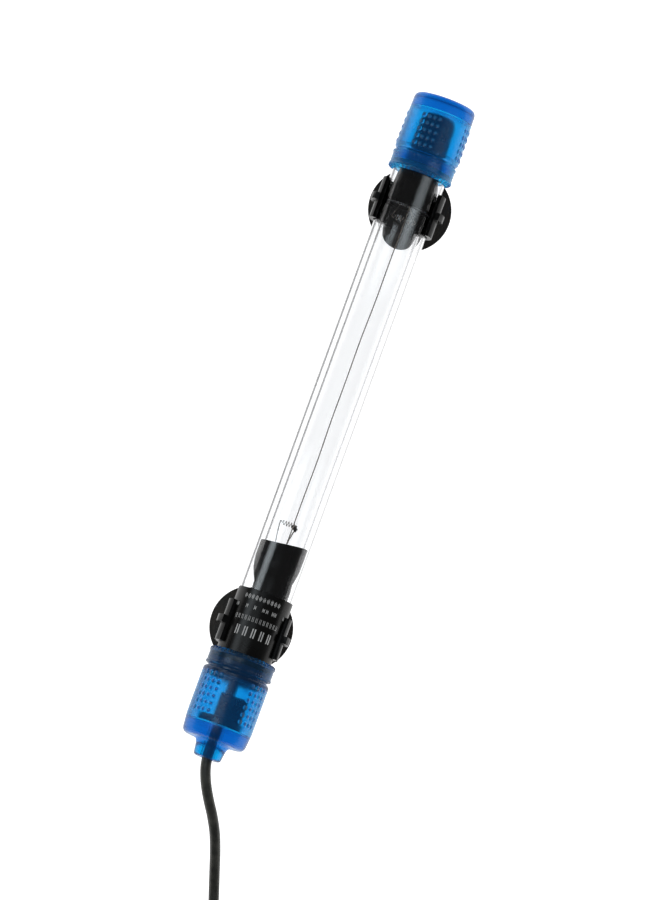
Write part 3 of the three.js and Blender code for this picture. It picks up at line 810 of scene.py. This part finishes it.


# ---- the blue caps and nuts ----
# face and joint are the nut's two ends, and shoulder and floor the cap's, all from the lamp's
# middle. thread is the nut's inner radius. The dots stand in rows about row_mid and in fields of
# four columns, columns degrees apart, with the middle of a field at fields degrees. nut is the
# nut's material, and dark_to how far into the cap it reaches. The lower nut's material is a
# darker copy of the cap plastic: painted shade.
UPPER = dict(side=1, face=122, joint=130.4, shoulder=131.5, floor=152.3, r=15, r_end=14.4,
             neck_in=12.8, neck_out=13.6, thread=13.9, rows=5, row_pitch=3.33, row_mid=141.2,
             columns=10.0, fields=-14, nut="cap", dark_to=0)
LOWER = dict(side=-1, face=109.3, joint=117.2, shoulder=118.6, floor=143.7, r=15.5, r_end=15.5,
             neck_in=13.15, neck_out=13.9, thread=14.15, rows=6, row_pitch=3.4, row_mid=130.1,
             columns=10.9, fields=-41, nut="nut", dark_to=120.4)
DOT_R, DOT_H = 1.05, 0.36
# above this share of its height a dot's top takes painted shade and a painted highlight
DOT_TOP = 0.72  # share of a dot's height above which it has its own material
CAP_END = 158.2
NUT_WEB = 1.5  # the nut's flange round the sleeve
NUT_BORE = 13.15
SEAL_ROOM = 3.0  # between the flange and the cap's neck


def to_end(end, outline):
    """An outline mirrored to its own end of the lamp."""
    return [(end["side"] * x, *rest) for x, *rest in outline]


def dot_rise(end, x, angle, r):
    """Height of the grip dots: four fields of domes around each cap."""
    along = (abs(x) - end["row_mid"]) / end["row_pitch"] + (end["rows"] - 1) / 2
    row = min(max(round(along), 0), end["rows"] - 1)
    turn = (math.degrees(angle) - end["fields"] + 45) % 90 - 45
    column = min(max(round(turn / end["columns"] + 1.5), 0), 3)
    dx = (along - row) * end["row_pitch"]
    dy = radians(turn - (column - 1.5) * end["columns"]) * r
    share = (dx * dx + dy * dy) / DOT_R ** 2
    return DOT_H * math.sqrt(1 - share) if share < 1 else 0.0


def dense(x0, x1, r0, r1, step=0.3):
    """Evenly spaced points along a straight stretch of outline."""
    count = max(1, round(abs(x1 - x0) / step))
    return [(x0 + (x1 - x0) * i / count, r0 + (r1 - r0) * i / count) for i in range(count + 1)]


def add_cap(end, node, body, tail):
    """One cap: a neck, a dotted barrel and an end, whose outline is tail."""
    tip = end["face"] + NUT_WEB + SEAL_ROOM
    start = end["shoulder"] + 0.7
    stop = end["row_mid"] + end["rows"] / 2 * end["row_pitch"] + 0.6
    neck = [(tip, end["neck_in"], 0.15), (tip, end["neck_out"], 0.25),
            (end["shoulder"], end["neck_out"], 0.2), (end["shoulder"], end["r"] - 0.7, 0.3)]
    slope = (end["r_end"] - end["r"]) / (CAP_END - end["shoulder"])
    r_stop = end["r"] + slope * (stop - end["shoulder"])
    barrel = dense(start, stop, end["r"], r_stop)
    whole = to_end(end, rounded(neck) + barrel + tail)

    def push(x, r, a):
        inside = r < end["r_end"] - 0.8 or not start <= abs(x) <= stop
        return 0, 0 if inside else dot_rise(end, x, a, r)
    cap = revolve(node + "_shell", whole, "cap", 400, push)
    paint_cap(cap, end, start, stop)
    return place(cap, body, "cap_blue", node)


def paint_cap(cap, end, start, stop):
    """Gives the dots' tops their own material, with painted shade and a painted highlight, and the
    cap next to the lower nut the nut's darker plastic, which is painted shade.
    """
    cap.data.materials.append(MATERIALS["dot"])
    cap.data.materials.append(MATERIALS["nut"])
    for face in cap.data.polygons:
        centre = face.center / MM
        turn = math.atan2(-centre.y, centre.z - AXIS_Z)
        r = math.hypot(centre.y, centre.z - AXIS_Z)
        outside = start <= abs(centre.x) <= stop and r > end["r_end"] - 0.1
        if outside and dot_rise(end, centre.x, turn, r) > DOT_TOP * DOT_H:
            face.material_index = 1
        # painted shade: the cap beside the lower nut takes the nut's darker plastic
        elif abs(centre.x) < end["dark_to"]:
            face.material_index = 2


def add_caps():
    """Both caps, their nuts and the seals inside the nuts."""
    dome = [(158.3, UPPER["r_end"], 2.6), (158.9, 6, 3), (158.9, 0)]
    floor = [(UPPER["floor"], 0), (UPPER["floor"], UPPER["neck_in"], 1.8)]
    add_cap(UPPER, "upper_cap", "plain_cap", rounded([(150.5, 14.58), *dome, *floor]))
    nozzle = [(150.3, 14.7, 3.4), (150.3, 8.9, 0.9), (151.4, 7.5, 0.8), (153.0, 7.0, 0.4),
              (CAP_END, 6.3, 1.4), (CAP_END, 2.75, 0.35)]
    floor = [(LOWER["floor"], 2.75, 0.1), (LOWER["floor"], 13.3, 1.2)]
    add_cap(LOWER, "lower_cap", "cable_cap", rounded([(141.4, 15.5), *nozzle, *floor]))
    add_nut(UPPER, "upper_collar_nut", "upper_nut")
    add_nut(LOWER, "lower_collar_nut", "lower_nut")
    for end, node, slot, look in ((UPPER, "upper_seal", "seal_clear", "seal"),
                                  (LOWER, "lower_seal", "cup_rubber", "cup")):
        low, high, r = span(node)
        ring = rectangle(low, high, end["neck_in"], r, 0.4, 0.4, 0.5, 0.5)
        place(revolve(node + "_ring", ring, look), "lamp", slot, node)


def add_nut(end, node, body):
    """A collar nut with a scalloped rim on its tube side and a raised band at each edge."""
    face, joint, r = end["face"], end["joint"], end["r"]
    scallops = 42
    outline = rounded([
        (face, NUT_BORE, 0.2), (face, r - 0.9, 0.2), (face + 0.7, r, 0.4), (face + 1.9, r, 0.2),
        (face + 2.2, r - 0.3, 0.2), (joint - 1.5, r - 0.3, 0.2), (joint - 1.2, r, 0.2),
        (joint - 0.4, r, 0.3), (joint, r - 0.6, 0.2), (joint, end["thread"], 0.1),
        (face + NUT_WEB, end["thread"], 0.1), (face + NUT_WEB, NUT_BORE, 0.2),
    ])

    def push(x, radius, a):
        edge = 1 - soft_step(abs(x), face + 0.3, face + 1.6)
        rim = soft_step(radius, 13.6, 14.1) * edge
        wave = 0.5 - 0.5 * cos(scallops * a)
        return end["side"] * 0.55 * wave * rim, -0.28 * wave * rim
    nut = revolve(node + "_shell", to_end(end, outline), end["nut"], 336, push)
    place(nut, body, "cap_blue", node)


# ---- inside the lower cap ----
def add_cable_entry():
    """The bung, the grommet, and the leads in their sheath on the way to the splice block."""
    low, high, r = span("bung_lower")
    bung = rounded([(low, 8.75, 0.2), (low, r, 0.6), (low + 2.3, r, 0.6), (low + 2.3, 11.05, 0.2),
                    (high, 11.05, 0.4), (high, 8.75, 0.3)])
    place(revolve("bung", bung, "cup"), "lamp", "cup_rubber", "bung_lower")
    low, high, r = span("cable_grommet")
    grommet = rectangle(low, high, 2.7, r, 0.3, 0.4, 0.7, 0.7)
    place(revolve("grommet", grommet, "cup"), "cable_cap", "cup_rubber", "cable_grommet")
    for name in ("inner_lead_live", "inner_lead_neutral"):
        low, high, _ = span(name)
        y = middle(name).y
        line = smooth_path([(low, y, AXIS_Z), (low + 4, y * 1.15, AXIS_Z + 0.2),
                            (low + 9, y * 0.9, AXIS_Z - 0.1), (high, y, AXIS_Z)])
        place(sweep(name + "_wire", line, 0.92, "part", 16), "cable_cap", "part_black", name)
    sheath = rectangle(-127.3, -113.2, 2.1, 2.45, 0.1, 0.1, 0.2, 0.2)
    place(revolve("lead_sheath", sheath, "boot", 48), "cable_cap", "part_black")
    add_splice_block()


def add_splice_block():
    """A two-way splice block with sunk screws."""
    low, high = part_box("splice_block")
    (x0, y0, z0), (x1, y1, z1) = low / MM, high / MM
    base = block("splice_case", (x0, y0, z0), (x1, y1, z1), "part")
    x, y = (x0 + x1) / 2, (y0 + y1) / 2
    ways = (-3, 3)
    top = z1 - 1.6  # of the screws
    wells = [post(2.1, z1 - 4, z1 + 1, "part", (x, y + d), 40) for d in ways]
    case = bevelled(combined(base, wells), 0.5)
    place(case, "cable_cap", "part_black", "splice_block")
    for i, d in enumerate(ways):
        head = rounded([(0, z1 - 3.9), (1.8, z1 - 3.9), (1.8, top, 0.3), (0, top)])
        screw = spin(f"splice_screw_{i}", head, "part", (x, y + d), 32)
        slot = block("driver_slot", (x - 2.2, y + d - 0.3, top - 0.6),
                     (x + 2.2, y + d + 0.3, top + 1))
        place(combined(screw, [slot]), "cable_cap", "part_black")


def add_ballast():
    """The driver inside the lower boot: a drilled board, a capacitor and a drum choke."""
    low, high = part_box("ballast_board")
    (x0, y0, z0), (x1, y1, z1) = low / MM, high / MM
    board = block("driver_board", (x0, y0, z0), (x1, y1, z1), "board")
    holes = [post(0.5, z0 - 1, z1 + 1, "board", (x0 + 1.4, y0 + 2 + 3 * i), 16) for i in range(4)]
    place(bevelled(combined(board, holes), 0.12, 2), "lamp", "board_green", "ballast_board")
    low, high, r = span("ballast_capacitor")
    centre = middle("ballast_capacitor")
    can = rounded([(low, 0), (low, r, 0.5), (low + 1.4, r, 0.3), (low + 1.8, r - 0.4, 0.3),
                   (low + 2.2, r, 0.3), (high, r, 0.6), (high - 0.2, r - 1), (high - 0.2, 0)])
    can = revolve("driver_capacitor", can, "part", 48, shift=(centre.y, centre.z - AXIS_Z))
    place(can, "lamp", "part_black", "ballast_capacitor")
    low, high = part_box("ballast_coil")
    centre = middle("ballast_coil")
    z0, z1 = low.z / MM, high.z / MM
    drum = rounded([(0, z0), (3.6, z0, 0.3), (3.6, z0 + 0.9, 0.2), (2.4, z0 + 0.9), (2.4, z1 - 0.9),
                    (3.6, z1 - 0.9, 0.2), (3.6, z1, 0.3), (0, z1)])
    place(spin("choke_core", drum, "part", centre, 48), "lamp", "part_black", "ballast_coil")
    winding = helix((centre.x, centre.y, z0 + 1.3), (centre.x, centre.y, z1 - 1.3), 2.75, 9, 24)
    place(sweep("choke_winding", winding, 0.2, "copper", 6), "lamp", "coil_copper")


# ---- the clips and the suction cups ----
# tip is how far the arms reach past the middle, and turn how far a clip is turned on the tube, both
# in degrees. seat is the button's place along X from the clip's middle.
CLIP = dict(r_in=12.95, r_out=15, r_rib=17.2, rib=3.3, tip=28, turn=3.2, seat=3)


def clip_outline(r_out, r_in, tip, steps=44):
    """A C around the tube, open at the top, as (y, z) about the tube's axis."""
    start, stop = 180 - tip, 360 + tip
    return arc(r_out, start, stop, steps) + arc(r_in, stop, start, steps)


def arc(r, start, stop, steps):
    """Points between two angles in degrees about the tube's axis, as (y, z)."""
    turns = [radians(start + (stop - start) * i / steps) for i in range(steps + 1)]
    return [(r * cos(a), AXIS_Z + r * sin(a)) for a in turns]


def add_clip(name, side):
    """A spring clip: a split ring with a rib, and a keyway under it for a cup's button."""
    low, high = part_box(name + "_clip")
    x0, x1 = low.x / MM, high.x / MM
    x = (x0 + x1) / 2
    ring = prism("ring", clip_outline(CLIP["r_out"], CLIP["r_in"], CLIP["tip"]), x0, x1)
    rib = prism("rib", clip_outline(CLIP["r_rib"], CLIP["r_in"] + 0.4, CLIP["tip"] - 0.6),
                x - CLIP["rib"] / 2, x + CLIP["rib"] / 2)
    plate_low, plate_high, roof = 5.7, 7.4, 10.8  # of the keyway under the clip
    r_head, r_neck = 5.6, 3.8
    boss = prism("boss", rounded([(-7.2, plate_low, 0.8), (7.2, plate_low, 0.8), (7.2, 13.2),
                                  (-7.2, 13.2)]), x - 6, x1)
    bore = prism("bore", arc(CLIP["r_in"], 0, 360, 96)[:-1], x0 - 1, x1 + 1)
    clip = combined(ring, [rib, boss], "UNION")
    seat = x + CLIP["seat"]
    tools = [bore]
    for r, z0, z1 in ((r_head, plate_high, roof), (r_neck, plate_low - 1, plate_high + 0.1)):
        tools.append(post(r, z0, z1, "clip", (seat, 0), 64))
        tools.append(block("way", (seat, -r * 0.995, z0), (x1 + 1, r * 0.995, z1)))
    clip = combined(clip, tools)
    # the bevels take a lighter grey: a painted highlight along the rims
    clip.data.materials.append(MATERIALS["clip_painted_highlight"])
    clip = bevelled(clip, 0.34, 2, 40, edge_slot=1)
    clip.name = name + "_clip_shell"
    pivot = Vector((0, 0, AXIS_Z)) * MM
    turn = Matrix.Rotation(radians(-CLIP["turn"] * side), 4, "X")
    clip.data.transform(Matrix.Translation(pivot) @ turn @ Matrix.Translation(-pivot))
    place(clip, name + "_clip_body", "clip_black", name + "_clip")


def add_cup(name):
    """A suction cup: a dished rubber disc with a rounded lip, a fine ring, and a button head."""
    centre = middle(name + "_suction_cup")
    outline = rounded([
        (0, 2.2), (6.5, 1.95, 2), (12.5, 1.15, 2), (17.2, 0.0, 0.3), (19, 0.0, 0.35),
        (19, 0.95, 0.45), (17.6, 1.3, 0.4), (16.9, 1.65, 0.3), (14.5, 2.3, 1.5), (9.6, 3.55, 2),
        (6, 4.6, 0.9), (3.5, 5.3, 0.8), (3.5, 7.9, 0.4), (5.2, 7.9, 0.35), (5.2, 10.1, 0.7),
        (1.4, 10.1, 0.2), (1.1, 9.7, 0.2), (0, 9.7),
    ])
    cup = spin(name + "_cup_rubber", outline, "cup", centre, 128)
    place(cup, name + "_cup", "cup_rubber", name + "_suction_cup")


# ---- the room ----
def add_room():
    """A pale floor that gloss sees dimmed, three soft boxes, and dark cards for the glass edges."""
    far = (-3000, 3000)
    MATERIALS["floor"] = glowing("floor", 0.35, 1.3)
    stage_unseen(sheet("floor", far, far, 0), "glossy")
    MATERIALS["floor_in_gloss"] = glowing("floor_in_gloss", 0.1, 0.85)
    dim = sheet("floor_in_gloss", far, far, -1)
    stage_unseen(dim, "camera", "diffuse", "transmission", "shadow")
    world = bpy.data.worlds.new("surround")
    world.use_nodes = True
    tree = world.node_tree
    fill(tree, tree.nodes["Background"], Color=(0.97, 0.98, 1, 1), Strength=0.085)
    bpy.context.scene.world = world
    add_softbox("box_cable_end", -30, 47, 480, 320, 150, 3.4)
    add_softbox("box_plain_end", 185, -37, 520, 520, 120, 1.9)
    add_softbox("box_cord", -140, 14, 600, 420, 130, 4.0)
    add_card("card_left", 24.5, 58, 0.2)
    add_card("card_right", -58, -29, 0.62)


def glowing(name, grey, glow):
    """A dull grey that gives off white light."""
    return surface(name, Base_Color=(grey, grey, grey, 1), Roughness=0.9, Emission_Color=WHITE,
                   Emission_Strength=glow)[0]


def stage_unseen(thing, *rays):
    """Makes a piece of the room that these kinds of ray don't see."""
    for ray in rays:
        setattr(thing, "visible_" + ray, False)


def sheet(name, x_span, y_span, z):
    """A flat rectangle in the material of its own name."""
    (x0, x1), (y0, y1) = x_span, y_span
    corners = [(x0, y0, z), (x1, y0, z), (x1, y1, z), (x0, y1, z)]
    return finish_mesh(name, corners, [(0, 1, 2, 3)], name)


def add_softbox(name, aim_x, tilt, distance, across, along, glow):
    """A glowing sheet over the lamp that fades towards its edges. The camera doesn't see it.

    tilt is degrees from straight up towards +Y, and glow its brightness in the middle."""
    MATERIALS[name], tree = surface(name, Base_Color=(0, 0, 0, 1), Roughness=1.0,
                                    Emission_Color=(0.86, 0.95, 1, 1))
    axes = tree.nodes.new("ShaderNodeSeparateXYZ")
    fill(tree, axes, Vector=fed(tree, "TexCoord", "Object"))
    fade = glow
    for axis, half in (("X", along / 2 * MM), ("Y", across / 2 * MM)):
        share = math_of(tree, "DIVIDE", axes.outputs[axis], half)
        square = math_of(tree, "MULTIPLY", share, share)
        fade = math_of(tree, "MULTIPLY", fade, math_of(tree, "SUBTRACT", 1.0, square, True))
    fill(tree, tree.nodes["Principled BSDF"], Emission_Strength=fade)
    box = sheet(name, (-along / 2, along / 2), (-across / 2, across / 2), 0)
    a = radians(tilt)
    towards = Vector((0, sin(a), cos(a)))
    side = Vector((1, 0, 0))
    turn = Matrix((side, towards.cross(side), towards)).transposed().to_4x4()
    where = (Vector((aim_x, 0, AXIS_Z)) + towards * distance) * MM
    box.matrix_world = Matrix.Translation(where) @ turn
    stage_unseen(box, "camera")


def math_of(tree, operation, first, second, clamp=False):
    """The result of arithmetic on two numbers or nodes' outputs."""
    node = tree.nodes.new("ShaderNodeMath")
    node.operation = operation
    node.use_clamp = clamp
    for socket, value in zip(node.inputs, (first, second)):
        if isinstance(value, float):
            socket.default_value = value
        else:
            tree.links.new(value, socket)
    return node.outputs["Value"]


def add_card(name, y0, y1, glow):
    """A flat card beside the lamp that is seen only through glass."""
    MATERIALS[name] = glowing(name, 0.02, glow)
    card = sheet(name, (-155, 155), (y0, y1), 0.5)
    stage_unseen(card, "camera", "diffuse", "glossy", "shadow")


def set_view():
    """Colour handling and light bounces for clear pieces inside each other."""
    scene = bpy.context.scene
    scene.view_settings.view_transform = "Standard"
    scene.view_settings.look = "None"
    scene.cycles.max_bounces = 24
    scene.cycles.transmission_bounces = 24
    scene.cycles.glossy_bounces = 6
    scene.cycles.diffuse_bounces = 3
    scene.cycles.transparent_max_bounces = 12


add_camera()
cord = add_cord()
on_cord = [add_coil_tie(), *add_plug()]
add_glass()
add_filament("filament_lower", 5.4, -2.3, (3.7, -0.4), (-0.6, -2.6))
add_filament("filament_upper", 5.4, -5.6, (3.6, -1.4), (-1.0, -4.6))
add_return_wire()
add_upper_boot()
add_lower_boot()
add_label()
add_caps()
add_cable_entry()
add_ballast()
add_clip("upper", 1)
add_clip("lower", -1)
add_cup("upper")
add_cup("lower")
add_room()
set_view()
